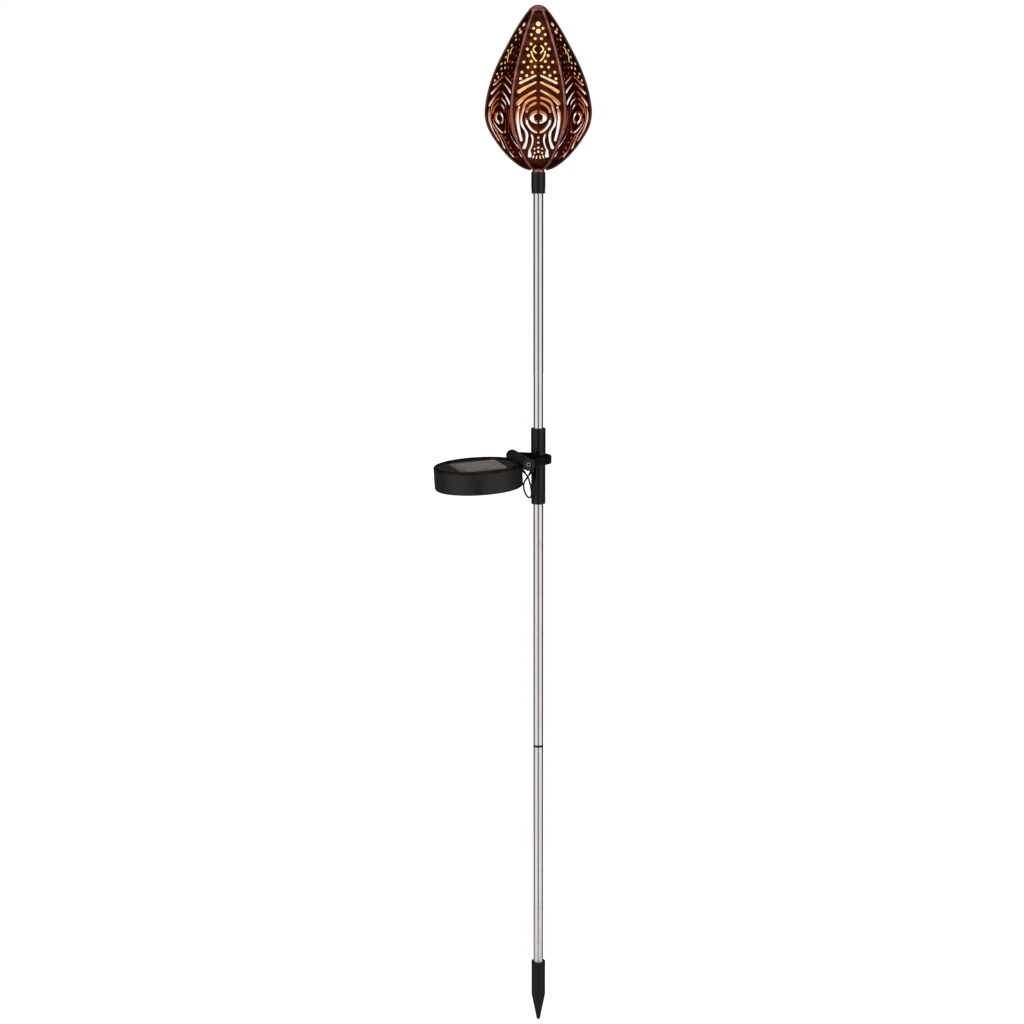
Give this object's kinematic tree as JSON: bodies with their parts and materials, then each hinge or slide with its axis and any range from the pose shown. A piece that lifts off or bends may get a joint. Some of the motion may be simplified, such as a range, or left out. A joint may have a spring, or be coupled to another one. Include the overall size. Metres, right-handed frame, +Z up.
{
  "type": "solar garden torch",
  "caption": "Solar garden torch: perforated lantern head on a jointed pole with a ground spike, and a round solar panel on a tilting hinge.",
  "frame": {"origin": "centre of the ground spike's socket mouth, at ground level, on the pole's axis", "axes": "+Z up along the pole; the solar panel lies towards -X; the panel's hinge axis runs along Y"},
  "size_m": [0.1529, 0.0988, 1.019],
  "materials": {
    "spike_plastic": "moulded, matt",
    "black_plastic": "semi-gloss",
    "cover_plastic": "fine satin",
    "stainless_tube": "polished along the tube",
    "bright_steel": "plated",
    "spring_steel": "bright",
    "antique_copper": "antique metallic paint",
    "copper_seam": "metallic paint, brighter",
    "clear_window": "clear",
    "cell_silicon": "dark laminate",
    "black_rubber": "soft matt",
    "battery_sleeve": "shrink sleeve",
    "board_green": "solder mask",
    "white_plastic": "moulded",
    "lens_clear": "clear dome"
  },
  "bodies": {
    "spike": {"ground_spike": "spike_plastic"},
    "lower_pole": {"lower_tube": "stainless_tube"},
    "middle_pole": {"pole_coupler": "black_plastic", "middle_tube": "stainless_tube"},
    "upper_section": {"connector_sleeve": "black_plastic", "upper_tube": "stainless_tube", "panel_yoke": "black_plastic", "hinge_bolt": "bright_steel", "hinge_nut": "bright_steel", "hinge_washers": "bright_steel", "sleeve_grommet": "black_rubber", "light_cable": "black_rubber", "pole_lead": "black_rubber", "head_collar": "black_plastic", "head_ferrule": "copper_seam", "led_holder": "white_plastic", "led_board": "white_plastic", "led_lens": "lens_clear", "lantern_cap": "antique_copper", "lantern_petal_1": "antique_copper", "lantern_petal_2": "antique_copper", "lantern_petal_3": "antique_copper", "lantern_petal_4": "antique_copper", "lantern_petal_5": "antique_copper", "lantern_petal_6": "antique_copper", "lantern_seam_1": "copper_seam", "lantern_seam_2": "copper_seam", "lantern_seam_3": "copper_seam", "lantern_seam_4": "copper_seam", "lantern_seam_5": "copper_seam", "lantern_seam_6": "copper_seam"},
    "solar_panel": {"panel_housing": "black_plastic", "panel_bezel": "black_plastic", "panel_window": "clear_window", "solar_cell": "cell_silicon", "panel_cover": "cover_plastic", "cover_seal": "black_rubber", "cover_screws": "bright_steel", "battery": "battery_sleeve", "battery_cradle": "black_plastic", "battery_plate_contact": "spring_steel", "battery_leaf_contact": "spring_steel", "circuit_board": "board_green", "board_parts": "cell_silicon", "switch_body": "black_plastic", "panel_grommet": "black_rubber", "panel_lead": "black_rubber"},
    "switch": {"switch_knob": "black_plastic"}
  },
  "joints": [
    {"name": "pole_pull", "type": "slide", "parent": "spike", "child": "lower_pole", "axis": [0, 0, 1], "range_m": [0, 0.029]},
    {"name": "section_pull", "type": "slide", "parent": "lower_pole", "child": "middle_pole", "axis": [0, 0, 1], "range_m": [0, 0.028]},
    {"name": "upper_section_turn", "type": "hinge", "parent": "middle_pole", "child": "upper_section", "pos_m": [0, 0, 0.4885], "axis": [0, 0, 1], "continuous": true},
    {"name": "panel_tilt", "type": "hinge", "parent": "upper_section", "child": "solar_panel", "pos_m": [-0.0184, 0, 0.5248], "axis": [0, 1, 0], "range_deg": [-25, 75], "deforming": ["light_cable"]},
    {"name": "switch_slide", "type": "slide", "parent": "solar_panel", "child": "switch", "axis": [-0.9986, 0, -0.0523], "range_m": [0, 0.0024]}
  ]
}
